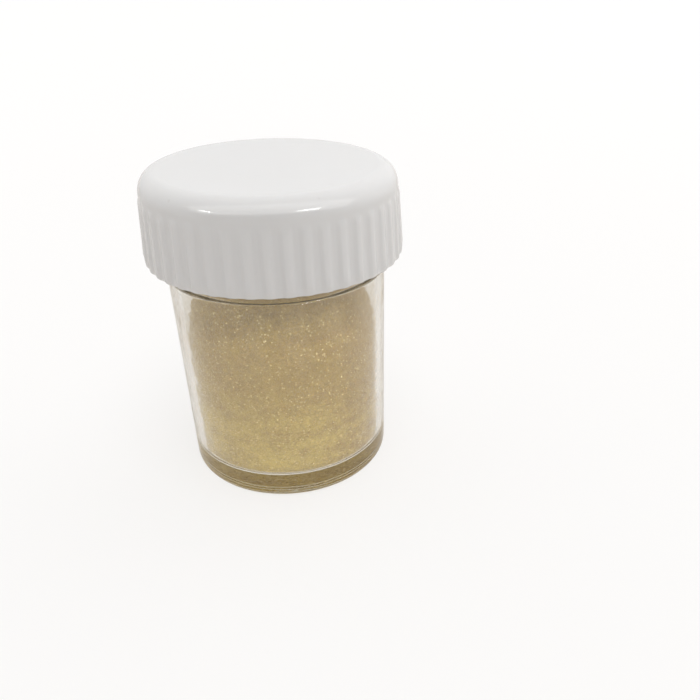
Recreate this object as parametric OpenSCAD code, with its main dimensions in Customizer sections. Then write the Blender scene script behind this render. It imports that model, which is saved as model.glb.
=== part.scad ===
// Small clear sample vial with a ribbed screw cap, filled with gold powder.
// Origin: centre of the foot, on the surface the vial stands on. +Z is up, millimetres.

/* [Jar] */
// Outer diameter of the straight body
body_d = 25.7; // [25:0.1:25.8]
// Height of the shoulder where the body ends and the neck begins
shoulder_z = 26.5; // [24:0.1:27]
// Thickness of the side wall
jar_wall = 1.0; // [0.9:0.05:1.1]
// Thickness of the floor
floor_t = 3; // [2:0.1:3.4]
// Radius of the rounded outer edge of the foot
heel_r = 1.3; // [0.6:0.1:2]
// Radius of the fillet between the floor and the wall inside
floor_fillet = 0.8; // [0.3:0.1:1]
// Depth of the shallow hollow under the foot
foot_hollow = 0.35; // [0.2:0.05:0.8]
// Height of the rim that the liner seals on
rim_z = 35.4; // [35:0.1:35.6]

/* [Cap] */
// Diameter over the ribs at the open end
cap_d = 30.2; // [30:0.1:30.6]
// Diameter over the ribs at the top end of the side
cap_top_d = 29; // [28.8:0.1:29.2]
// Height of the open end above the foot
cap_z = 28; // [27.8:0.05:28.3]
// Height of the whole vial, to the top of the cap
total_h = 37.8; // [37.6:0.1:38.2]
// Radius of the rounded edge around the top
cap_edge_r = 2.2; // [1.5:0.1:2.4]
// Thickness of the liner disc
liner_t = 1.1; // [0.9:0.1:1.2]
// Number of grip ribs around the side
rib_count = 46; // [40:2:50]
// Height that a rib stands out at the open end
rib_height = 0.3; // [0.2:0.05:0.35]
// Half the width of a rib where it leaves the side
rib_half_w = 0.52; // [0.4:0.02:0.6]

/* [Thread] */
// Rise of the thread in one turn
pitch = 4.233; // [4:0.001:4.3]
// Turns of thread on the neck
neck_turns = 1.15; // [1:0.05:1.2]
// Turns of thread inside the cap
cap_turns = 1.1; // [1:0.05:1.15]
// Height of a thread ridge above its wall
thread_depth = 0.75; // [0.6:0.05:0.8]
// Gap between the neck and the cap, all over the thread
thread_gap = 0.3; // [0.25:0.05:0.35]

/* [Contents] */
// Height of the top of the powder heap
fill_z = 30.3; // [28:0.1:30.5]
// Height where the powder leaves the wall and starts to slope in
heap_z = 18.8; // [16:0.1:20]

/* [Hidden] */
$fn = 96;
body_r = body_d / 2;
bore_r = body_r - jar_wall;
neck_r = body_r - 0.35;             // the neck steps in under the cap
edge_r = 0.3;                       // softened edges of the shoulder and the rim
foot_ring_w = 1.9;                  // flat ring that touches the surface
root_w = 1.9;                       // axial width of a ridge at its wall
crest_w = 0.9;                      // axial width of a ridge at its crest
bury = 0.3;                         // how deep a ridge is rooted in its wall
fade = 40;                          // degrees over which a ridge runs out at each end
ring_step = 6;                      // degrees between the sections of a ridge
neck_thread_z = 29.2;               // middle of the neck ridge where it starts
cap_thread_z = 29.5;                // middle of the cap ridge where it starts
flank_gap = 0.15;                   // gap between the flanks that pull the cap down
cap_bore_r = neck_r + thread_depth + thread_gap;
cap_ceiling_z = rim_z + liner_t;
liner_r = cap_bore_r - 0.3;
side_bottom_r = cap_d / 2 - rib_height;
side_top_r = cap_top_d / 2 - 0.1;     // the ribs run out towards the top
side_top_z = total_h - cap_edge_r;
rib_top_z = side_top_z - 0.7;       // a smooth band stays above the ribs
mouth_chamfer = 0.35;
powder_r = bore_r - 0.15;
rib_r = (rib_half_w * rib_half_w / rib_height + rib_height) / 2;

// How far the cap ridge sits below the neck ridge, centre to centre
overlap_r = (neck_r + cap_bore_r) / 2;
ridge_slope = (root_w - crest_w) / thread_depth;
neck_w_mid = root_w - (overlap_r - neck_r) * ridge_slope;
cap_w_mid = root_w - (cap_bore_r - overlap_r) * ridge_slope;
ridge_drop = (neck_w_mid + cap_w_mid) / 2 + flank_gap;
cap_thread_angle = 360 * (cap_thread_z - neck_thread_z + ridge_drop) / pitch;

// Height share of a ridge at an angle from its start: 0 at both ends, 1 in between
function run_out(angle, sweep) =
    let (t = max(0, min(1, angle / fade, (sweep - angle) / fade)))
    t * t * (3 - 2 * t);

// Four corners of one ridge section: root low, crest low, crest high, root high
function ridge_section(angle, sweep, wall_r, side, z) =
    let (share = run_out(angle, sweep))
    let (root = wall_r - side * bury)
    let (crest = wall_r - side * bury / 2 + side * (thread_depth + bury / 2) * share)
    let (mid_z = z + pitch * angle / 360)
    [
        [root * cos(angle), root * sin(angle), mid_z - root_w / 2],
        [crest * cos(angle), crest * sin(angle), mid_z - crest_w / 2],
        [crest * cos(angle), crest * sin(angle), mid_z + crest_w / 2],
        [root * cos(angle), root * sin(angle), mid_z + root_w / 2]
    ];

// Helical ridge on a round wall: side is 1 on the outside of a wall and -1 on the inside
module thread_ridge(wall_r, side, z, turns) {
    sweep = 360 * turns;
    count = round(sweep / ring_step);
    points = [for (i = [0:count]) each ridge_section(sweep * i / count, sweep, wall_r, side, z)];
    walls = [for (i = [0:count - 1], k = [0:3])
        let (a = 4 * i + k, b = 4 * i + (k + 1) % 4)
        side > 0 ? [b, b + 4, a + 4, a] : [a, a + 4, b + 4, b]];
    last = 4 * count;
    first_end = side > 0 ? [3, 2, 1, 0] : [0, 1, 2, 3];
    last_end = side > 0 ? [last, last + 1, last + 2, last + 3] : [last + 3, last + 2, last + 1, last];
    polyhedron(points, concat(walls, [first_end, last_end]), convexity = 6);
}

// Half outline of a round block from z0 to z1, with rounded lower and upper edges
module round_block(r, z0, z1, low, high) {
    translate([0, z0 + low]) square([r, z1 - z0 - low - high]);
    if (low > 0) {
        translate([0, z0]) square([r - low, 2 * low]);
        translate([r - low, z0 + low]) circle(low);
    }
    if (high > 0) {
        translate([0, z1 - 2 * high]) square([r - high, 2 * high]);
        translate([r - high, z1 - high]) circle(high);
    }
}

// Clear moulded jar with a thick floor, a stepped-in neck and its thread
module jar() color([0.9, 0.93, 0.92, 0.35]) {
    union() {
        rotate_extrude() difference() {
            union() {
                round_block(body_r, 0, shoulder_z, heel_r, edge_r);
                round_block(neck_r, floor_t, rim_z, 0, edge_r);
            }
            round_block(bore_r, floor_t, rim_z + 1, floor_fillet, 0);
            translate([0, -1]) square([body_r - heel_r - foot_ring_w, 1 + foot_hollow]);
        }
        thread_ridge(neck_r, 1, neck_thread_z, neck_turns);
    }
}

// Half outline of the cap without its ribs: a side that widens downwards, and a rounded top edge
module cap_outline() {
    slope = (side_bottom_r - side_top_r) / (side_top_z - cap_z);
    edge_x = side_top_r - cap_edge_r * sqrt(1 + slope * slope);
    touch = atan(slope);
    polygon([
        [0, cap_z],
        [side_bottom_r, cap_z],
        [edge_x + cap_edge_r * cos(touch), side_top_z + cap_edge_r * sin(touch)],
        [edge_x, total_h],
        [0, total_h]
    ]);
    translate([edge_x, side_top_z]) circle(cap_edge_r);
}

// One grip rib: a round bar laid along the side, with a round top end
module rib() {
    foot_z = cap_z - 1;
    low_x = side_bottom_r + rib_height - rib_r;
    high_x = cap_top_d / 2 - rib_r;
    lean = (low_x - high_x) / (side_top_z - cap_z);
    foot_x = low_x + lean;
    rise = rib_top_z - foot_z;
    translate([foot_x, 0, foot_z]) rotate([0, -atan(lean), 0]) {
        cylinder(h = rise * sqrt(1 + lean * lean), r = rib_r);
        translate([0, 0, rise * sqrt(1 + lean * lean)]) sphere(rib_r);
    }
}

// White screw cap with grip ribs outside and a thread inside
module cap() color("white") {
    union() {
        difference() {
            union() {
                rotate_extrude() cap_outline();
                for (i = [0:rib_count - 1]) rotate([0, 0, 360 * i / rib_count]) rib();
            }
            translate([0, 0, cap_z - 2]) cylinder(h = 2, r = cap_d);
            translate([0, 0, cap_z - 1]) cylinder(h = cap_ceiling_z - cap_z + 1, r = cap_bore_r);
            translate([0, 0, cap_z - 0.01])
                cylinder(h = mouth_chamfer, r1 = cap_bore_r + mouth_chamfer, r2 = cap_bore_r);
        }
        rotate([0, 0, cap_thread_angle]) thread_ridge(cap_bore_r, -1, cap_thread_z, cap_turns);
    }
}

// Soft foam disc inside the cap that seals on the rim
module cap_liner() color("whitesmoke")
    translate([0, 0, rim_z]) cylinder(h = liner_t, r = liner_r);

// Gold powder: packed against the wall low down, heaped with sloping shoulders above
module gold_powder() color([0.72, 0.6, 0.32])
    rotate_extrude() {
        round_block(powder_r, floor_t, heap_z, floor_fillet + 0.1, 0);
        polygon([
            [0, heap_z - 1],
            [powder_r, heap_z - 1],
            [powder_r, heap_z],
            [powder_r - 0.35, heap_z + 1.4],
            [powder_r - 1.2, heap_z + 4.2],
            [powder_r - 2.3, heap_z + 7.2],
            [powder_r - 3.7, fill_z - 2],
            [powder_r - 6, fill_z - 0.6],
            [powder_r - 8.7, fill_z - 0.1],
            [0, fill_z]
        ]);
    }

jar();
cap();
cap_liner();
gold_powder();
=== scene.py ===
import math
import random

import bpy
import numpy as np
from mathutils import Matrix, Vector


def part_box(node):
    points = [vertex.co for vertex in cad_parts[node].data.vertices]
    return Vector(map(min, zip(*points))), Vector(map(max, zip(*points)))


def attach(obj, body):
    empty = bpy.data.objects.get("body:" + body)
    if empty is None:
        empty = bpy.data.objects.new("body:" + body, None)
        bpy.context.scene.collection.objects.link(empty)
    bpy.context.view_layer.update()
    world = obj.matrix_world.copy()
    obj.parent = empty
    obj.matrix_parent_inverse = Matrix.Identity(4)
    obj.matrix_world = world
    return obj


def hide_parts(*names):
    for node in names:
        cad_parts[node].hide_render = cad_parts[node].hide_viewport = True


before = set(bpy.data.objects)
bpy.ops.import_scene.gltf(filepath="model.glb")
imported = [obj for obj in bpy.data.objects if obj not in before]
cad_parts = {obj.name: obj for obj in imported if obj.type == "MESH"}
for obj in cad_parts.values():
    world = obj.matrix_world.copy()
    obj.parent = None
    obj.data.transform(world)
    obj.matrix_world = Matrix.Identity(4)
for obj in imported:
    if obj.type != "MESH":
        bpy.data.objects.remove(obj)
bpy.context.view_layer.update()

mm = 0.001  # every setting below is in millimetres, and Blender works in metres
fullTurn = 2 * math.pi

# Places that the frame gives
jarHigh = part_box("jar")[1]
capLow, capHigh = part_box("cap")
linerLow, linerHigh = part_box("cap_liner")
powderLow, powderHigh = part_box("gold_powder")
rimHeight = jarHigh.z / mm
capBottom = capLow.z / mm
capTop = capHigh.z / mm
capRadius = capHigh.x / mm
floorHeight = powderLow.z / mm
fillHeight = powderHigh.z / mm


# The camera and the studio
cameraSettings = {
    "distance": 5.193,  # from the vial's axis, in cap radii
    "height": 3.755,    # above the floor, in cap radii
    "pan": -0.159,      # radians, to the right
    "tilt": -0.577,     # radians, downwards
    "lens": 34.84,
    "shiftX": -0.0438,
    "shiftY": 0.0722,
}


def setCamera():
    settings = cameraSettings
    bpy.ops.object.camera_add()
    camera = bpy.context.object
    camera.name = "studioCamera"
    reach = capRadius * mm
    camera.location = (0, -settings["distance"] * reach, settings["height"] * reach)
    camera.rotation_euler = (math.pi / 2 + settings["tilt"], 0, settings["pan"])
    camera.data.lens = settings["lens"]
    camera.data.shift_x = settings["shiftX"]
    camera.data.shift_y = settings["shiftY"]
    camera.data.clip_start = 0.001
    camera.data.clip_end = 50
    bpy.context.scene.camera = camera


setCamera()
print("camera placed")


# Small tools
def objectMode():
    if bpy.context.object and bpy.context.object.mode != "OBJECT":
        bpy.ops.object.mode_set(mode="OBJECT")


def clearSelection():
    objectMode()
    bpy.ops.object.select_all(action="DESELECT")


def makeActive(piece):
    clearSelection()
    piece.select_set(True)
    bpy.context.view_layer.objects.active = piece


def startEdit(piece):
    makeActive(piece)
    bpy.ops.object.mode_set(mode="EDIT")
    bpy.ops.mesh.select_mode(type="VERT")
    bpy.ops.mesh.select_all(action="SELECT")


def vertexPlaces(piece):
    places = np.zeros(len(piece.data.vertices) * 3)
    piece.data.vertices.foreach_get("co", places)
    return places.reshape(-1, 3) / mm


def movePlaces(piece, places):
    piece.data.vertices.foreach_set("co", (places * mm).ravel())
    piece.data.update()


def editPoints(piece, chosen):  # chosen is a mask over the vertices, and only those stay selected
    makeActive(piece)
    mesh = piece.data
    mesh.polygons.foreach_set("select", [False] * len(mesh.polygons))
    mesh.edges.foreach_set("select", [False] * len(mesh.edges))
    mesh.vertices.foreach_set("select", chosen.tolist())
    bpy.ops.object.mode_set(mode="EDIT")
    bpy.ops.mesh.select_mode(type="VERT")


def applyAll(piece):
    makeActive(piece)
    for modifier in list(piece.modifiers):
        bpy.ops.object.modifier_apply(modifier=modifier.name)


def smooth(piece, degrees=35):
    makeActive(piece)
    bpy.ops.object.shade_smooth_by_angle(angle=math.radians(degrees))


def arc(centreRadius, centreHeight, size, fromDegrees, toDegrees, count, lead=0.05):
    # each end gets a short straight lead, so the flat surface beside the curve is also shaded flat
    turn = math.copysign(lead, toDegrees - fromDegrees)
    points = []
    for step in range(-1, count + 2):
        held = max(0, min(count, step))
        angle = math.radians(fromDegrees + (toDegrees - fromDegrees) * held / count)
        along = turn * (step - held)
        points.append((centreRadius + size * math.cos(angle) - along * math.sin(angle),
                       centreHeight + size * math.sin(angle) + along * math.cos(angle)))
    return points


def evenly(points, spacing):  # adds points along each straight stretch, so that none is longer than spacing
    dense = [points[0]]
    for start, end in zip(points, points[1:]):
        count = max(1, math.ceil(math.dist(start, end) / spacing))
        for step in range(1, count + 1):
            share = step / count
            dense.append((start[0] + (end[0] - start[0]) * share, start[1] + (end[1] - start[1]) * share))
    return dense


def turnOnLathe(name, outline, steps):  # outline runs from axis to axis, as (radius, height)
    clearSelection()
    bpy.ops.mesh.primitive_plane_add(size=mm)
    piece = bpy.context.object
    piece.name = name
    piece.data.name = name
    startEdit(piece)
    bpy.ops.mesh.merge(type="CENTER")  # the plane is now a single point to draw with
    here = (0, 0)
    for place, there in enumerate(outline):
        move = {"value": ((there[0] - here[0]) * mm, 0, (there[1] - here[1]) * mm)}
        if place == 0:
            bpy.ops.transform.translate(**move)
        else:
            bpy.ops.mesh.extrude_vertices_move(TRANSFORM_OT_translate=move)
        here = there
    bpy.ops.mesh.select_all(action="SELECT")
    bpy.ops.mesh.spin(steps=steps, angle=fullTurn, center=(0, 0, 0), axis=(0, 0, 1))
    bpy.ops.mesh.select_all(action="SELECT")
    bpy.ops.mesh.remove_doubles(threshold=0.001 * mm)
    bpy.ops.mesh.normals_make_consistent(inside=False)
    objectMode()
    return piece


# Screw threads, used by the jar and the cap
threadSettings = {
    "pitch": 4.233,
    "depth": 0.75,
    "rootWidth": 1.9,
    "crestWidth": 0.9,
    "bury": 0.3,        # how deep a ridge is rooted in its wall
    "fade": 40,         # degrees over which it runs out
    "stepDegrees": 4,
    "flankGap": 0.15,
}


def threadRidge(name, wallRadius, side, startHeight, turns, startDegrees):
    # side is 1 on the outside of a wall and -1 on the inside
    settings = threadSettings
    clearSelection()
    bpy.ops.mesh.primitive_plane_add(size=1, rotation=(math.pi / 2, 0, 0))
    ridge = bpy.context.object
    ridge.name = name
    bpy.ops.object.transform_apply(location=False, rotation=True, scale=False)
    startEdit(ridge)
    bpy.ops.mesh.delete(type="ONLY_FACE")
    bpy.ops.mesh.select_all(action="SELECT")
    depth, bury = settings["depth"], settings["bury"]
    bpy.ops.transform.resize(value=((depth + bury) * mm, 1, settings["rootWidth"] * mm))
    objectMode()
    places = vertexPlaces(ridge)
    editPoints(ridge, places[:, 0] * side > 0)  # the crest is narrower than the root
    bpy.ops.transform.resize(value=(1, 1, settings["crestWidth"] / settings["rootWidth"]))
    bpy.ops.mesh.select_all(action="SELECT")
    middle = wallRadius + side * (depth - bury) / 2
    bpy.ops.transform.translate(value=(middle * mm, 0, startHeight * mm))
    objectMode()

    rings = round(360 * turns / settings["stepDegrees"])
    screw = ridge.modifiers.new("threadTurns", "SCREW")
    screw.angle = fullTurn * turns
    screw.screw_offset = settings["pitch"] * turns * mm
    screw.steps = rings
    screw.render_steps = rings
    applyAll(ridge)

    places = vertexPlaces(ridge)  # the ends sink into the wall
    for ring in range(rings + 1):
        degrees = 360 * turns * ring / rings
        share = max(0, min(1, degrees / settings["fade"], (360 * turns - degrees) / settings["fade"]))
        share = share * share * (3 - 2 * share)
        for point in range(4 * ring, 4 * ring + 4):
            radius = math.hypot(places[point][0], places[point][1])
            if (radius - wallRadius) * side > 0:
                height = depth * share - bury / 2 * (1 - share)
                places[point][:2] *= (wallRadius + side * height) / radius
    movePlaces(ridge, places)

    order = np.arange(len(places))
    for chosen in (order < 4, order >= 4 * rings):
        editPoints(ridge, chosen)
        bpy.ops.mesh.edge_face_add()
    startEdit(ridge)
    bpy.ops.mesh.normals_make_consistent(inside=False)
    objectMode()
    ridge.rotation_euler.z = math.radians(startDegrees)
    makeActive(ridge)
    bpy.ops.object.transform_apply(location=False, rotation=True, scale=False)
    return ridge


def growOn(piece, ridge):
    join = piece.modifiers.new("oneMoulding", "BOOLEAN")
    join.operation = "UNION"
    join.solver = "EXACT"
    join.object = ridge
    applyAll(piece)
    bpy.data.objects.remove(ridge)


# The jar
jarSettings = {
    "bodyRadius": 12.85,
    "neckRadius": 12.5,
    "boreRadius": 11.85,
    "shoulder": 26.5,
    "heel": 1.3,
    "edge": 0.3,
    "floorFillet": 0.8,
    "hollow": 0.35,        # under the foot
    "hollowRadius": 9.65,
    "hollowRound": 0.25,   # small roundings: inside the hollow,
    "footRound": 0.15,     # at the inner edge of the foot,
    "neckRound": 0.2,      # where the neck meets the shoulder,
    "rimRound": 0.15,      # and inside the rim
    "steps": 192,
    "threadStart": 29.2,
    "threadTurns": 1.15,
}


def makeJar():
    jar = jarSettings
    body, neck, bore = jar["bodyRadius"], jar["neckRadius"], jar["boreRadius"]
    heel, edge, fillet = jar["heel"], jar["edge"], jar["floorFillet"]
    outline = [(0, jar["hollow"])]
    hollowRound, footRound = jar["hollowRound"], jar["footRound"]
    outline += arc(jar["hollowRadius"] - 2 * hollowRound, jar["hollow"] - hollowRound, hollowRound, 90, 30, 3)
    outline += arc(jar["hollowRadius"] + hollowRound, footRound, footRound, 210, 270, 3)
    outline += arc(body - heel, heel, heel, -90, 0, 10)
    outline += arc(body - edge, jar["shoulder"] - edge, edge, 0, 90, 5)
    outline += arc(neck + jar["neckRound"], jar["shoulder"] + jar["neckRound"], jar["neckRound"], 270, 180, 4)
    outline += arc(neck - edge, rimHeight - edge, edge, 0, 90, 5)
    outline += arc(bore + jar["rimRound"], rimHeight - jar["rimRound"], jar["rimRound"], 90, 180, 3)
    outline += arc(bore - fillet, floorHeight + fillet, fillet, 0, -90, 8)
    outline += [(0, floorHeight)]
    shell = turnOnLathe("clearJar", outline, jar["steps"])
    growOn(shell, threadRidge("neckThread", neck, 1, jar["threadStart"], jar["threadTurns"], 0))
    smooth(shell, 32)
    return shell


clearJar = makeJar()
print("jar turned:", len(clearJar.data.polygons), "faces")


# The cap
capSettings = {
    "boreRadius": 13.55,
    "sideBottomRadius": 14.8,  # between the ribs
    "sideTopRadius": 14.4,
    "edge": 2.2,
    "ribs": 46,
    "ribHeight": 0.3,          # at the open end
    "ribHeightTop": 0.12,
    # how far out each of the points across one rib and its gap stands, from the middle of the rib
    "ribShape": [1, 0.96, 0.7, 0.12, 0, 0, 0, 0.12, 0.7, 0.96],
    "ribTop": 35.3,
    "ribFade": 0.9,
    "ribFoot": 0.7,            # the ribs also soften over this height at the open end
    "lip": 0.22,               # rounding of the open end
    "mouthChamfer": 0.35,
    "mouthBreak": 0.05,        # the chamfer's lower edge is broken by this much
    "threadStart": 29.5,
    "threadTurns": 1.1,
}


def capThreadDegrees():  # where the cap's ridge starts so that it lies just under the neck's
    thread = threadSettings
    slope = (thread["rootWidth"] - thread["crestWidth"]) / thread["depth"]
    overlapRadius = (jarSettings["neckRadius"] + capSettings["boreRadius"]) / 2
    neckWidth = thread["rootWidth"] - (overlapRadius - jarSettings["neckRadius"]) * slope
    capWidth = thread["rootWidth"] - (capSettings["boreRadius"] - overlapRadius) * slope
    drop = (neckWidth + capWidth) / 2 + thread["flankGap"]
    rise = capSettings["threadStart"] - jarSettings["threadStart"] + drop
    return 360 * rise / thread["pitch"]


def raiseRibs(shell):
    cap = capSettings
    samples = len(cap["ribShape"])
    places = vertexPlaces(shell)
    radius = np.hypot(places[:, 0], places[:, 1])
    angle = np.arctan2(places[:, 1], places[:, 0]) % fullTurn
    sample = np.rint(angle / fullTurn * cap["ribs"] * samples).astype(int) % samples
    outside = (radius > cap["sideTopRadius"] - 0.1) & (places[:, 2] < cap["ribTop"])
    heights = sorted(set(np.round(places[outside, 2], 3)))
    for height in heights:
        share = min(1, (cap["ribTop"] - height) / cap["ribFade"])
        up = (height - capBottom) / (cap["ribTop"] - capBottom)
        stand = cap["ribHeight"] + (cap["ribHeightTop"] - cap["ribHeight"]) * up
        stand *= math.sin(share * math.pi / 2)
        stand *= min(1, 0.4 + 0.6 * (height - capBottom) / cap["ribFoot"])
        ring = outside & (np.abs(places[:, 2] - height) < 0.002)
        for shape in sorted(set(cap["ribShape"]) - {0}):
            chosen = ring & np.isin(sample, [i for i in range(samples) if cap["ribShape"][i] == shape])
            factor = 1 + stand * shape / cap["sideBottomRadius"]
            editPoints(shell, chosen)
            bpy.ops.transform.resize(value=(factor, factor, 1), center_override=(0, 0, 0))
            objectMode()


def makeCap():
    cap = capSettings
    ceiling = linerHigh.z / mm
    bore, lip, edge = cap["boreRadius"], cap["lip"], cap["edge"]
    sideTop = capTop - edge
    slope = (cap["sideBottomRadius"] - cap["sideTopRadius"]) / (sideTop - capBottom)
    lean = math.degrees(math.atan(slope))
    edgeCentre = cap["sideTopRadius"] - edge * math.sqrt(1 + slope * slope)
    sideStart = (cap["sideBottomRadius"] - slope * lip, capBottom + lip)
    leanAngle = math.radians(lean)
    sideEnd = (edgeCentre + edge * math.cos(leanAngle), sideTop + edge * math.sin(leanAngle))
    ribFoot = (sideEnd[0] + slope * (sideEnd[1] - cap["ribTop"]), cap["ribTop"])
    fadeFoot = (ribFoot[0] + slope * cap["ribFade"], cap["ribTop"] - cap["ribFade"])

    chamfer, rim = cap["mouthChamfer"], cap["mouthBreak"]
    outline = evenly([(0, ceiling), (bore, ceiling), (bore, capBottom + chamfer)], 2)
    outline += [(bore + chamfer - rim, capBottom + rim)]
    outline += evenly([(bore + chamfer + rim, capBottom), (cap["sideBottomRadius"] - lip, capBottom)], 0.5)
    outline += arc(cap["sideBottomRadius"] - lip, capBottom + lip, lip, -70, -20, 3, 0)
    outline += evenly([sideStart, fadeFoot], 0.7)
    outline += evenly([fadeFoot, ribFoot], 0.18)[1:]
    outline += arc(edgeCentre, sideTop, edge, lean, 90, 16)
    outline += evenly([(edgeCentre, capTop), (0, capTop)], 3)[1:]
    shell = turnOnLathe("ribbedCap", outline, cap["ribs"] * len(cap["ribShape"]))
    raiseRibs(shell)
    start, turns = cap["threadStart"], cap["threadTurns"]
    growOn(shell, threadRidge("capThread", bore, -1, start, turns, capThreadDegrees()))
    smooth(shell, 40)
    return shell


ribbedCap = makeCap()
print("cap turned and ribbed:", len(ribbedCap.data.polygons), "faces")


# The liner
linerSettings = {
    "radius": 13.25,
    "edge": 0.18,
    "groove": 0.09,  # the mark that the jar's rim has pressed into the foam
    "steps": 160,
}


def makeLiner():
    liner = linerSettings
    low, high = linerLow.z / mm, linerHigh.z / mm
    inner, outer = jarSettings["boreRadius"], jarSettings["neckRadius"]
    groove, edge = liner["groove"], liner["edge"]
    outline = [(0, low + groove * 0.5), (inner - 0.9, low + groove * 0.5), (inner - 0.25, low + groove * 0.7)]
    outline += [(inner - 0.02, low), (outer + 0.02, low), (outer + 0.2, low + groove * 0.7)]
    outline += arc(liner["radius"] - edge, low + groove * 0.6 + edge, edge, -90, 0, 4)
    outline += arc(liner["radius"] - edge, high - edge, edge, 0, 90, 4)
    outline += [(0, high)]
    disc = turnOnLathe("foamLiner", outline, liner["steps"])
    smooth(disc, 40)
    return disc


foamLiner = makeLiner()
print("liner turned")


# The powder
powderSettings = {
    "spacing": 0.24,
    "steps": 300,
    "leaveWall": 18.8,      # height where the powder stops touching the wall
    "packedGap": 0.05,      # how far its middle surface lies inside the wall
    "wallGap": 0.01,        # the least gap that is left to the wall
    "cornerGap": 0.45,      # it doesn't fill the corner between floor and wall
    "floorPress": 0.05,     # lets all but a few patches reach the floor
    "floorContact": 0.02,   # how far it is pressed into the floor where it touches
    # the heap above, as (distance in from the wall, height above leaveWall or below the top)
    "slope": [(0.35, 1.5), (1.25, 4.2), (2.25, 7.0)],
    "crown": [(3.8, -2.0), (6.2, -0.75), (8.9, -0.25)],
    "lumps": [(3.4, 0.55), (1.1, 0.26), (0.38, 0.12)],   # (size, height) on the loose heap
    "packedLumps": [(2.6, 0.10), (0.6, 0.035)],            # where the wall has pressed it flat
}


def powderOutline():
    powder = powderSettings
    wall = jarSettings["boreRadius"] - powder["packedGap"]
    fillet = jarSettings["floorFillet"] + powder["cornerGap"]
    leave = powder["leaveWall"]
    outline = [(0, floorHeight)]
    outline += arc(wall - fillet, floorHeight + fillet, fillet, -90, 0, 5)
    outline += [(wall, leave)]
    outline += [(wall - inset, leave + rise) for inset, rise in powder["slope"]]
    outline += [(wall - inset, fillHeight + drop) for inset, drop in powder["crown"]]
    outline += [(0, fillHeight - 0.2)]
    return evenly(outline, powder["spacing"])


def roughen(piece, lumps, groupName):
    for place, (size, height) in enumerate(lumps):
        texture = bpy.data.textures.new(f"{groupName}Lumps{place}", "CLOUDS")
        texture.noise_scale = size * mm
        texture.noise_depth = 2
        push = piece.modifiers.new(f"{groupName}Push{place}", "DISPLACE")
        push.texture = texture
        push.texture_coords = "LOCAL"
        push.strength = height * mm
        push.mid_level = 0.5
        push.vertex_group = groupName


def makePowder():
    powder = powderSettings
    heap = turnOnLathe("powderHeap", powderOutline(), powder["steps"])
    places = vertexPlaces(heap)
    loose = np.clip((places[:, 2] - powder["leaveWall"] + 0.6) / 2.5, 0, 1)
    for groupName, weights in (("loose", loose), ("packed", 1 - loose)):
        group = heap.vertex_groups.new(name=groupName)
        for point, weight in enumerate(weights):
            if weight > 0:
                group.add([point], float(weight), "REPLACE")
    roughen(heap, powder["lumps"], "loose")
    roughen(heap, powder["packedLumps"], "packed")
    applyAll(heap)

    places = vertexPlaces(heap)  # the wall and the floor press flat what would pass them
    radius = np.hypot(places[:, 0], places[:, 1])
    limit = jarSettings["boreRadius"] - powder["wallGap"]
    places[:, :2] *= (np.minimum(radius, limit) / np.maximum(radius, 0.001))[:, None]
    places[:, 2] -= np.where(places[:, 2] < floorHeight + 0.15, powder["floorPress"], 0)
    places[:, 2] = np.clip(places[:, 2], floorHeight - powder["floorContact"], fillHeight)
    movePlaces(heap, places)
    heap.vertex_groups.clear()
    smooth(heap, 60)
    return heap


powderHeap = makePowder()
print("powder heaped:", len(powderHeap.data.polygons), "faces")


# Loose grains on the heap and on the wall
grainSettings = {
    "onHeap": 420,
    "onWall": 160,
    "small": 0.05,
    "large": 0.16,
    "lift": 0.03,       # how far a grain's middle stands off what it lies on
    "tilt": 0.35,       # radians, the usual tilt of a grain
    "aboveShoulder": 4,  # how far up the neck dust reaches
    "seed": 11,
}


def makeGrains():
    grains = grainSettings
    draw = random.Random(grains["seed"])
    clearSelection()
    bpy.ops.mesh.primitive_ico_sphere_add(subdivisions=1, radius=1)
    pattern = bpy.context.object
    startEdit(pattern)
    bpy.ops.transform.resize(value=(1, 0.8, 0.4))  # a flat flake
    bpy.ops.transform.vertex_random(offset=0.18, seed=3)
    objectMode()
    heap = powderHeap.data
    loosePoints = [v for v in heap.vertices if v.co.z > (powderSettings["leaveWall"] + 0.5) * mm]
    spots = []
    for count in range(grains["onHeap"]):
        point = draw.choice(loosePoints)
        spots.append((point.co + point.normal * grains["lift"] * mm, point.normal.copy()))
    wall = jarSettings["boreRadius"] - grains["lift"]
    for count in range(grains["onWall"]):
        angle = draw.uniform(0, fullTurn)
        outward = Vector((math.cos(angle), math.sin(angle), 0))
        height = draw.uniform(powderSettings["leaveWall"], jarSettings["shoulder"] + grains["aboveShoulder"])
        spots.append((outward * wall * mm + Vector((0, 0, height * mm)), outward))
    copies = []
    for place, normal in spots:
        size = mm * (grains["small"] + (grains["large"] - grains["small"]) * draw.random() ** 3)
        turn = normal.to_track_quat("Z", "Y").to_matrix().to_4x4()
        spin = Matrix.Rotation(draw.uniform(0, fullTurn), 4, "Z")
        spin = spin @ Matrix.Rotation(draw.gauss(0, grains["tilt"]), 4, "X")
        mesh = pattern.data.copy()
        mesh.transform(Matrix.Translation(place) @ turn @ spin @ Matrix.Scale(size, 4))
        grain = bpy.data.objects.new("looseGrain", mesh)
        bpy.context.scene.collection.objects.link(grain)
        copies.append(grain)
    bpy.data.objects.remove(pattern)
    clearSelection()
    for grain in copies:
        grain.select_set(True)
    bpy.context.view_layer.objects.active = copies[0]
    bpy.ops.object.join()
    joined = bpy.context.object
    joined.name = "looseGrains"
    return joined


looseGrains = makeGrains()
print("grains scattered:", len(looseGrains.data.polygons), "faces")


# The film of dust on the inside of the wall
filmSettings = {
    "depth": 0.006,       # how far into the wall its outer face lies
    "thickness": 0.004,
    "low": 3.4,
    "high": 33.5,
    "steps": 192,
}


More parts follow.
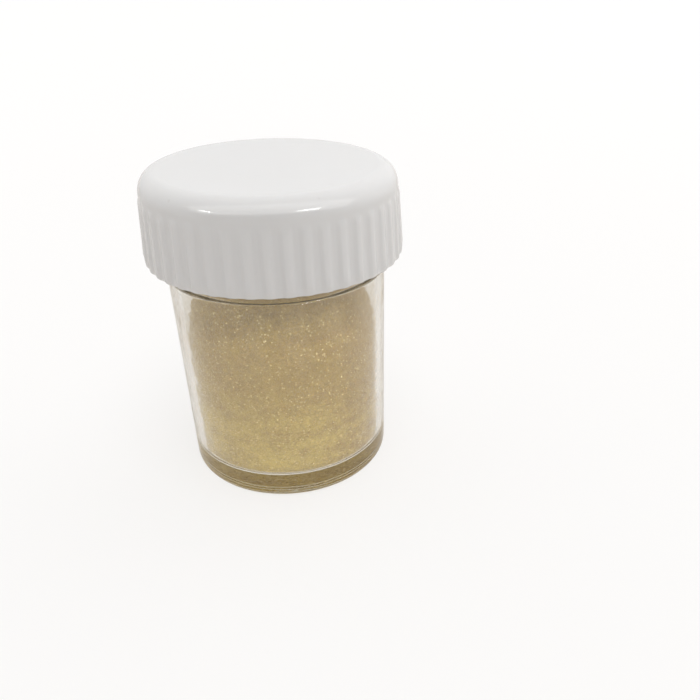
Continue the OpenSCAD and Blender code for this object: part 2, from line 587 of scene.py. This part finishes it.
def makeFilm():
    film = filmSettings
    outer = jarSettings["boreRadius"] + film["depth"]
    inner = outer - film["thickness"]
    clearSelection()
    bpy.ops.mesh.primitive_cylinder_add(
        vertices=film["steps"], radius=outer * mm, depth=(film["high"] - film["low"]) * mm,
        end_fill_type="NOTHING", location=(0, 0, (film["high"] + film["low"]) / 2 * mm))
    sheet = bpy.context.object
    sheet.name = "dustFilm"
    bpy.ops.object.transform_apply(location=True, rotation=True, scale=True)
    wall = sheet.modifiers.new("filmWall", "SOLIDIFY")
    wall.thickness = (outer - inner) * mm
    wall.offset = -1
    applyAll(sheet)
    smooth(sheet, 40)
    return sheet


dustFilm = makeFilm()
print("dust film made")


# Node tools for the materials
def node(tree, kind, inputs=None, **settings):
    made = tree.nodes.new(kind)
    for name, value in settings.items():
        setattr(made, name, value)
    for name, value in (inputs or {}).items():
        if isinstance(value, bpy.types.NodeSocket):
            tree.links.new(value, made.inputs[name])
        else:
            made.inputs[name].default_value = value
    return made


def math2(tree, operation, first, second, clamp=False):
    made = node(tree, "ShaderNodeMath", {0: first, 1: second}, operation=operation, use_clamp=clamp)
    return made.outputs[0]


def ranged(tree, value, fromLow, fromHigh, toLow, toHigh, kind="SMOOTHSTEP"):
    inputs = {"Value": value, "From Min": fromLow, "From Max": fromHigh, "To Min": toLow, "To Max": toHigh}
    return node(tree, "ShaderNodeMapRange", inputs, interpolation_type=kind).outputs["Result"]


def mixed(tree, share, first, second):
    mix = node(tree, "ShaderNodeMix", data_type="RGBA")
    for socket, value in ((mix.inputs[0], share), (mix.inputs[6], first), (mix.inputs[7], second)):
        if isinstance(value, bpy.types.NodeSocket):
            tree.links.new(value, socket)
        else:
            socket.default_value = value
    return mix.outputs[2]


def startGroup(name, ins, outs):
    tree = bpy.data.node_groups.new(name, "ShaderNodeTree")
    for title, kind, value in ins:
        socket = tree.interface.new_socket(name=title, in_out="INPUT", socket_type=kind)
        if value is not None:
            socket.default_value = value
    for title, kind in outs:
        tree.interface.new_socket(name=title, in_out="OUTPUT", socket_type=kind)
    return tree, tree.nodes.new("NodeGroupInput"), tree.nodes.new("NodeGroupOutput")


def grouped(tree, group, inputs):
    made = tree.nodes.new("ShaderNodeGroup")
    made.node_tree = group
    for name, value in inputs.items():
        if isinstance(value, bpy.types.NodeSocket):
            tree.links.new(value, made.inputs[name])
        else:
            made.inputs[name].default_value = value
    return made


floatSocket, vectorSocket, colourSocket = "NodeSocketFloat", "NodeSocketVector", "NodeSocketColor"


# Soft cloudy variation between two values
def makeCloudsGroup():
    tree, inside, outside = startGroup(
        "softClouds",
        [("Vector", vectorSocket, None), ("Scale", floatSocket, 100),
         ("Low", floatSocket, 0), ("High", floatSocket, 1)],
        [("Value", floatSocket)])
    noise = node(tree, "ShaderNodeTexNoise", {
        "Vector": inside.outputs["Vector"], "Scale": inside.outputs["Scale"], "Detail": 4, "Roughness": 0.6})
    spread = ranged(tree, noise.outputs["Fac"], 0.3, 0.7, inside.outputs["Low"], inside.outputs["High"])
    tree.links.new(spread, outside.inputs["Value"])
    return tree


# Thin curved scratches: the places where a noise passes through its middle value
def makeScratchGroup():
    tree, inside, outside = startGroup(
        "hairScratches",
        [("Vector", vectorSocket, None), ("Scale", floatSocket, 60), ("Width", floatSocket, 0.006),
         ("Patches", floatSocket, 200)],
        [("Mask", floatSocket)])
    stretch = node(tree, "ShaderNodeMapping", {"Vector": inside.outputs["Vector"],
                                               "Rotation": (0.5, 0.3, 0.2), "Scale": (1, 1, 0.12)})
    noise = node(tree, "ShaderNodeTexNoise", {"Vector": stretch.outputs[0], "Scale": inside.outputs["Scale"],
                                              "Detail": 2, "Roughness": 0.4})
    away = math2(tree, "ABSOLUTE", math2(tree, "SUBTRACT", noise.outputs["Fac"], 0.5), 0)
    line = math2(tree, "SUBTRACT", 1, math2(tree, "DIVIDE", away, inside.outputs["Width"]), True)
    patches = node(tree, "ShaderNodeTexNoise", {
        "Vector": inside.outputs["Vector"], "Scale": inside.outputs["Patches"]})
    where = ranged(tree, patches.outputs["Fac"], 0.5, 0.62, 0, 1)
    tree.links.new(math2(tree, "MULTIPLY", line, where), outside.inputs["Mask"])
    return tree


# Small specks, one in each cell that the share picks
def makeSpeckGroup():
    tree, inside, outside = startGroup(
        "specks",
        [("Vector", vectorSocket, None), ("Scale", floatSocket, 3000), ("Share", floatSocket, 0.1),
         ("Size", floatSocket, 0.3)],
        [("Mask", floatSocket), ("Shade", floatSocket)])
    cells = node(tree, "ShaderNodeTexVoronoi", {
        "Vector": inside.outputs["Vector"], "Scale": inside.outputs["Scale"]})
    split = node(tree, "ShaderNodeSeparateColor", {"Color": cells.outputs["Color"]})
    picked = math2(tree, "LESS_THAN", split.outputs["Red"], inside.outputs["Share"])
    nearness = math2(tree, "LESS_THAN", cells.outputs["Distance"], inside.outputs["Size"])
    tree.links.new(math2(tree, "MULTIPLY", picked, nearness), outside.inputs["Mask"])
    tree.links.new(split.outputs["Green"], outside.inputs["Shade"])
    return tree


# Fine grains, each with its own shade and its own tilt
def makeGrainGroup():
    tree, inside, outside = startGroup(
        "metalGrains",
        [("Vector", vectorSocket, None), ("Scale", floatSocket, 6000), ("Tilt", floatSocket, 0.6)],
        [("Shade", floatSocket), ("Normal", vectorSocket)])
    cells = node(tree, "ShaderNodeTexVoronoi", {
        "Vector": inside.outputs["Vector"], "Scale": inside.outputs["Scale"]})
    centred = node(tree, "ShaderNodeVectorMath", {0: cells.outputs["Color"], 1: (0.5, 0.5, 0.5)},
                   operation="SUBTRACT")
    scaled = node(tree, "ShaderNodeVectorMath", {0: centred.outputs[0], "Scale": inside.outputs["Tilt"]},
                  operation="SCALE")
    straight = node(tree, "ShaderNodeNewGeometry")
    tilted = node(tree, "ShaderNodeVectorMath", {0: straight.outputs["Normal"], 1: scaled.outputs[0]},
                  operation="ADD")
    unit = node(tree, "ShaderNodeVectorMath", {0: tilted.outputs[0]}, operation="NORMALIZE")
    split = node(tree, "ShaderNodeSeparateColor", {"Color": cells.outputs["Color"]})
    tree.links.new(split.outputs["Blue"], outside.inputs["Shade"])
    tree.links.new(unit.outputs[0], outside.inputs["Normal"])
    return tree


softClouds = makeCloudsGroup()
hairScratches = makeScratchGroup()
specks = makeSpeckGroup()
metalGrains = makeGrainGroup()


def startMaterial(name):
    material = bpy.data.materials.new(name)
    material.use_nodes = True
    tree = material.node_tree
    tree.nodes.clear()
    place = tree.nodes.new("ShaderNodeTexCoord").outputs["Object"]
    return material, tree, place, tree.nodes.new("ShaderNodeOutputMaterial")


def dress(piece, material):
    piece.data.materials.clear()
    piece.data.materials.append(material)


# Clear plastic
clearLook = {
    "colour": (0.985, 0.985, 0.965, 1),
    "ior": 1.59,
    "shadowTint": (0.985, 0.985, 0.975, 1),
    "clearRoughness": 0.012,
    "hazyRoughness": 0.04,
    "scratchRoughness": 0.12,
    "ripple": 0.04,         # depth of the slow waves in the moulded surface
    "rippleStrength": 0.25,
}


def clearPlastic():
    look = clearLook
    material, tree, place, output = startMaterial("clearPlastic")
    scratches = grouped(tree, hairScratches, {
        "Vector": place, "Scale": 90.0, "Width": 0.005, "Patches": 160.0})
    haze = grouped(tree, softClouds, {
        "Vector": place, "Scale": 300.0, "Low": look["clearRoughness"], "High": look["hazyRoughness"]})
    roughness = math2(tree, "ADD", haze.outputs[0],
                      math2(tree, "MULTIPLY", scratches.outputs[0], look["scratchRoughness"]))
    ripple = grouped(tree, softClouds, {"Vector": place, "Scale": 240.0, "Low": 0.0, "High": 1.0})
    bump = node(tree, "ShaderNodeBump", {
        "Strength": look["rippleStrength"], "Distance": look["ripple"] * mm, "Height": ripple.outputs[0]})
    plastic = node(tree, "ShaderNodeBsdfPrincipled", {
        "Base Color": look["colour"], "Metallic": 0, "Roughness": roughness, "IOR": look["ior"],
        "Transmission Weight": 1, "Normal": bump.outputs[0]})
    passing = node(tree, "ShaderNodeBsdfTransparent", {"Color": look["shadowTint"]})
    rays = node(tree, "ShaderNodeLightPath")
    soft = math2(tree, "MAXIMUM", rays.outputs["Is Shadow Ray"], rays.outputs["Is Diffuse Ray"])
    mix = node(tree, "ShaderNodeMixShader", {0: soft, 1: plastic.outputs[0], 2: passing.outputs[0]})
    tree.links.new(mix.outputs[0], output.inputs["Surface"])
    return material


# White cap plastic
whiteLook = {
    "colour": (0.76, 0.755, 0.75, 1),
    "shade": (0.745, 0.738, 0.73, 1),
    "roughness": 0.09,
    "scratchRoughness": 0.12,
    "dustColour": (0.45, 0.42, 0.36, 1),
    "dustCover": 0.12,
    "glowWeight": 0.4,      # light that soaks into the plastic
    "glowDepth": 0.9,
    "peel": 0.01,           # depth of the faint unevenness of the moulded surface
}


def whitePlastic():
    look = whiteLook
    material, tree, place, output = startMaterial("whitePlastic")
    tone = grouped(tree, softClouds, {"Vector": place, "Scale": 120.0, "Low": 0.0, "High": 0.35})
    dust = grouped(tree, specks, {"Vector": place, "Scale": 900.0, "Share": 0.006, "Size": 0.16})
    scratches = grouped(tree, hairScratches, {
        "Vector": place, "Scale": 55.0, "Width": 0.002, "Patches": 130.0})
    colour = mixed(tree, tone.outputs[0], look["colour"], look["shade"])
    cover = math2(tree, "MULTIPLY", dust.outputs["Mask"], look["dustCover"])
    colour = mixed(tree, cover, colour, look["dustColour"])
    smoothest, dullest = look["roughness"] - 0.02, look["roughness"] + 0.03
    sheen = grouped(tree, softClouds, {"Vector": place, "Scale": 300.0, "Low": smoothest, "High": dullest})
    roughness = math2(tree, "ADD", sheen.outputs[0],
                      math2(tree, "MULTIPLY", scratches.outputs[0], look["scratchRoughness"]))
    peel = grouped(tree, softClouds, {"Vector": place, "Scale": 500.0, "Low": 0.0, "High": 1.0})
    bump = node(tree, "ShaderNodeBump", {
        "Strength": 0.1, "Distance": look["peel"] * mm, "Height": peel.outputs[0]})
    plastic = node(tree, "ShaderNodeBsdfPrincipled", {
        "Base Color": colour, "Metallic": 0, "Roughness": roughness, "IOR": 1.5,
        "Subsurface Weight": look["glowWeight"], "Subsurface Scale": look["glowDepth"] * mm,
        "Normal": bump.outputs[0]})
    plastic.inputs["Subsurface Radius"].default_value = (1, 0.95, 0.9)
    tree.links.new(plastic.outputs[0], output.inputs["Surface"])
    return material


# Gold powder
powderLook = {
    "light": (0.61, 0.435, 0.1, 1),
    "dark": (0.42, 0.265, 0.06, 1),
    "green": (0.93, 0.74, 0.20, 1),
    "glint": (0.95, 0.79, 0.42, 1),
    "roughness": 0.5,
    "flakeShine": 0.2,          # how much smoother a flake is than the rest
    "patchLow": 0.3,            # weight of the dark patches low down and in the heap
    "patchHigh": 0.42,
    "sideLight": 0.06,          # shade on the lighter side and on the darker one
    "sideDark": 0.42,
    "mottleShade": 0.25,
    "grainShade": 0.34,
    "greenUnder": 6,            # the colour changes between these two heights
    "goldOver": 17,
    "lumpDepth": 0.05,
}


def goldPowder(name, shine):
    look = powderLook
    material, tree, place, output = startMaterial(name)
    split = node(tree, "ShaderNodeSeparateXYZ", {"Vector": place})
    height = split.outputs["Z"]
    low = ranged(tree, height, look["greenUnder"] * mm, look["goldOver"] * mm, 1, 0)
    # a darker batch lies on one side
    aside = ranged(tree, split.outputs["X"], 2 * mm, 10 * mm, look["sideLight"], look["sideDark"])
    layers = node(tree, "ShaderNodeMapping", {"Vector": place, "Scale": (1, 1, 2.3)})
    patches = grouped(tree, softClouds, {
        "Vector": layers.outputs[0], "Scale": 200.0, "Low": 0.0, "High": 1.0})
    mottle = grouped(tree, softClouds, {"Vector": place, "Scale": 1300.0, "Low": 0.0, "High": 1.0})
    grains = grouped(tree, metalGrains, {"Vector": place, "Scale": 6500.0, "Tilt": 0.9})
    flakes = grouped(tree, specks, {"Vector": place, "Scale": 6000.0, "Share": 0.07, "Size": 0.45})

    bright = mixed(tree, low, look["light"], look["green"])
    weight = ranged(tree, height, 10 * mm, 20 * mm, look["patchLow"], look["patchHigh"])
    shade = math2(tree, "ADD", math2(tree, "MULTIPLY", patches.outputs[0], weight), aside)
    shade = math2(tree, "ADD", shade, math2(tree, "MULTIPLY", mottle.outputs[0], look["mottleShade"]))
    grainShade = math2(tree, "MULTIPLY", grains.outputs["Shade"], look["grainShade"])
    shade = math2(tree, "ADD", shade, grainShade, True)
    colour = mixed(tree, shade, bright, look["dark"])
    colour = mixed(tree, flakes.outputs["Mask"], colour, look["glint"])
    shiny = math2(tree, "MULTIPLY", flakes.outputs["Mask"], look["flakeShine"])
    roughness = math2(tree, "SUBTRACT", look["roughness"], shiny)
    metal = math2(tree, "ADD", shine, math2(tree, "MULTIPLY", flakes.outputs["Mask"], 1 - shine))
    lumps = grouped(tree, softClouds, {"Vector": place, "Scale": 7500.0, "Low": 0.0, "High": 1.0})
    bump = node(tree, "ShaderNodeBump", {
        "Strength": 0.45, "Distance": look["lumpDepth"] * mm, "Height": lumps.outputs[0],
        "Normal": grains.outputs["Normal"]})
    powder = node(tree, "ShaderNodeBsdfPrincipled", {
        "Base Color": colour, "Metallic": metal, "Roughness": roughness, "Normal": bump.outputs[0]})
    tree.links.new(powder.outputs[0], output.inputs["Surface"])
    return material


# Dust film
filmLook = {
    "colour": (1.0, 0.84, 0.56, 1),
    "thin": 0.06,
    "thick": 0.24,
    "thinUnder": 15,    # the dust gets denser between these two heights
    "fullOver": 26,
    "lowShare": 0.25,
}


def filmDust():
    look = filmLook
    material, tree, place, output = startMaterial("clingingDust")
    height = node(tree, "ShaderNodeSeparateXYZ", {"Vector": place}).outputs["Z"]
    streaks = node(tree, "ShaderNodeMapping", {"Vector": place, "Scale": (1, 1, 0.35)})
    clouds = grouped(tree, softClouds, {
        "Vector": streaks.outputs[0], "Scale": 420.0, "Low": 0.0, "High": 1.0})
    fine = grouped(tree, softClouds, {"Vector": place, "Scale": 2600.0, "Low": 0.35, "High": 1.0})
    rise = ranged(tree, height, look["thinUnder"] * mm, look["fullOver"] * mm, look["lowShare"], 1)
    cover = math2(tree, "MULTIPLY", math2(tree, "MULTIPLY", clouds.outputs[0], fine.outputs[0]), rise)
    alpha = ranged(tree, cover, 0, 1, look["thin"], look["thick"], "LINEAR")
    dust = node(tree, "ShaderNodeBsdfPrincipled", {
        "Base Color": look["colour"], "Metallic": 0, "Roughness": 0.7, "Alpha": alpha})
    tree.links.new(dust.outputs[0], output.inputs["Surface"])
    return material


# Liner foam
foamLook = {
    "colour": (0.8, 0.8, 0.77, 1),
    "shade": (0.72, 0.71, 0.67, 1),
    "roughness": 0.75,
    "cellDepth": 0.05,
}


def whiteFoam():
    look = foamLook
    material, tree, place, output = startMaterial("whiteFoam")
    cells = node(tree, "ShaderNodeTexVoronoi", {"Vector": place, "Scale": 4200.0})
    tone = grouped(tree, softClouds, {"Vector": place, "Scale": 350.0, "Low": 0.0, "High": 1.0})
    colour = mixed(tree, tone.outputs[0], look["colour"], look["shade"])
    bump = node(tree, "ShaderNodeBump", {
        "Strength": 0.5, "Distance": look["cellDepth"] * mm, "Height": cells.outputs["Distance"]})
    foam = node(tree, "ShaderNodeBsdfPrincipled", {
        "Base Color": colour, "Roughness": look["roughness"], "Normal": bump.outputs[0]})
    tree.links.new(foam.outputs[0], output.inputs["Surface"])
    return material


dress(clearJar, clearPlastic())
dress(ribbedCap, whitePlastic())
dress(foamLiner, whiteFoam())
dress(powderHeap, goldPowder("goldPowder", 0.3))
dress(looseGrains, goldPowder("goldGrains", 0.6))
dress(dustFilm, filmDust())
print("materials made")


# Each piece on its body
for piece, body, slotName, replaced in (
        (clearJar, "jar", "clear_plastic", "jar"),
        (ribbedCap, "cap", "white_plastic", "cap"),
        (foamLiner, "liner", "liner_foam", "cap_liner"),
        (powderHeap, "jar", "gold_powder", "gold_powder"),
        (looseGrains, "jar", "gold_powder", None),
        (dustFilm, "jar", "gold_powder", None)):
    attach(piece, body)
    if replaced:
        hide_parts(replaced)
print("pieces riding")


# Floor and light
studioSettings = {
    "floorSize": 8.0,       # metres
    "floorColour": (0.26, 0.255, 0.25, 1),
    "floorCloud": (0.25, 0.245, 0.24, 1),
    "floorGlow": 0.675,     # a light table: most of its brightness comes from below
    "glowOnObject": 0.72,   # how much of that light falls on the vial
    "glowTint": (1, 0.95, 0.9, 1),
    "whiteTint": (1, 0.995, 0.99, 1),
    "footShade": (0.4, 0.34, 0.22, 1),  # what is left of the glow under the foot
    "shadeInner": 10.5,     # that shade fades out between these two radii
    "shadeOuter": 12.5,
    "front": 0.02,          # brightness of the room in front of the vial
    "back": 0.80,           # and behind it
    "seen": 0.85,           # the least brightness where it is seen directly or through the jar
    "right": 0.11,          # how much brighter the right side is than the middle
    "sides": 0.22,          # how much brighter both sides are than the middle
    # (name, where it is seen from the vial, strength, how wide it looks in degrees)
    "lamps": [("ceilingLamp", (0.08, -0.40, 0.91), 1.58, 40), ("sideLamp", (0.636, 0.309, 0.707), 0.2, 55)],
    # (azimuth from the front, elevation, width and height in degrees, brightness)
    "windows": [(-62, 28, 10, 1.8, 28.0), (34, 35, 19, 2.0, 60.0), (0, 56, 125, 50, 2.0)],
    "windowDistance": 1.2,
}


def makeFloor():
    studio = studioSettings
    clearSelection()
    bpy.ops.mesh.primitive_plane_add(size=studio["floorSize"])
    floor = bpy.context.object
    floor.name = "studioFloor"
    material, tree, place, output = startMaterial("paleFloor")
    tone = grouped(tree, softClouds, {"Vector": place, "Scale": 9.0, "Low": 0.0, "High": 0.2})
    colour = mixed(tree, tone.outputs[0], studio["floorColour"], studio["floorCloud"])
    rays = node(tree, "ShaderNodeLightPath")
    seen = math2(tree, "MAXIMUM", rays.outputs["Is Camera Ray"], rays.outputs["Is Transmission Ray"])
    glow = studio["floorGlow"]
    strength = ranged(tree, seen, 0, 1, glow * studio["glowOnObject"], glow)
    away = node(tree, "ShaderNodeVectorMath", {0: place}, operation="LENGTH").outputs["Value"]
    # the vial stands in its own shade
    shaded = ranged(tree, away, studio["shadeInner"] * mm, studio["shadeOuter"] * mm, 1, 0)
    tint = mixed(tree, seen, studio["glowTint"], studio["whiteTint"])
    paper = node(tree, "ShaderNodeBsdfPrincipled", {
        "Base Color": colour, "Roughness": 0.7, "Specular IOR Level": 0.2,
        "Emission Color": mixed(tree, shaded, tint, studio["footShade"]),
        "Emission Strength": strength})
    tree.links.new(paper.outputs[0], output.inputs["Surface"])
    dress(floor, material)


def makeRoomLight():
    studio = studioSettings
    world = bpy.data.worlds.new("studioRoom")
    bpy.context.scene.world = world
    world.use_nodes = True
    tree = world.node_tree
    tree.nodes.clear()
    place = node(tree, "ShaderNodeTexCoord").outputs["Generated"]
    way = node(tree, "ShaderNodeSeparateXYZ", {"Vector": place})
    around = ranged(tree, way.outputs["Y"], -0.7, 0.25, studio["front"], studio["back"])
    strength = math2(tree, "ADD", around, math2(tree, "MULTIPLY", way.outputs["X"], studio["right"]))
    aside = math2(tree, "MULTIPLY", math2(tree, "ABSOLUTE", way.outputs["X"], 0), studio["sides"])
    rays = node(tree, "ShaderNodeLightPath")
    seen = math2(tree, "MAXIMUM", rays.outputs["Is Camera Ray"], rays.outputs["Is Transmission Ray"])
    least = math2(tree, "MULTIPLY", seen, studio["seen"])
    strength = math2(tree, "MAXIMUM", math2(tree, "ADD", strength, aside), least)
    sky = node(tree, "ShaderNodeBackground", {"Color": studio["whiteTint"], "Strength": strength})
    tree.links.new(sky.outputs[0], node(tree, "ShaderNodeOutputWorld").inputs["Surface"])


def makeLights():
    studio = studioSettings
    for name, way, strength, width in studio["lamps"]:
        bpy.ops.object.light_add(type="SUN")
        lamp = bpy.context.object
        lamp.name = name
        lamp.rotation_euler = Vector(way).to_track_quat("Z", "Y").to_euler()
        lamp.data.energy = strength
        lamp.data.angle = math.radians(width)
        lamp.visible_glossy = False
    for place, (azimuth, elevation, width, height, brightness) in enumerate(studio["windows"]):
        side, up = math.radians(azimuth), math.radians(elevation)
        away = Vector((math.sin(side) * math.cos(up), -math.cos(side) * math.cos(up), math.sin(up)))
        distance = studio["windowDistance"]
        aim = Vector((0, 0, capTop * mm))
        bpy.ops.object.light_add(type="AREA", location=aim + away * distance)
        window = bpy.context.object
        window.name = f"window{place}"
        window.rotation_euler = away.to_track_quat("Z", "Y").to_euler()
        window.data.shape = "RECTANGLE"
        window.data.size = 2 * distance * math.tan(math.radians(width / 2))
        window.data.size_y = 2 * distance * math.tan(math.radians(height / 2))
        window.data.energy = brightness * math.pi * window.data.size * window.data.size_y
        window.visible_camera = False
        window.visible_diffuse = False  # they are only there to be mirrored in the cap's edge


makeFloor()
makeRoomLight()
makeLights()
bpy.context.scene.view_settings.view_transform = "Standard"
print("studio lit")
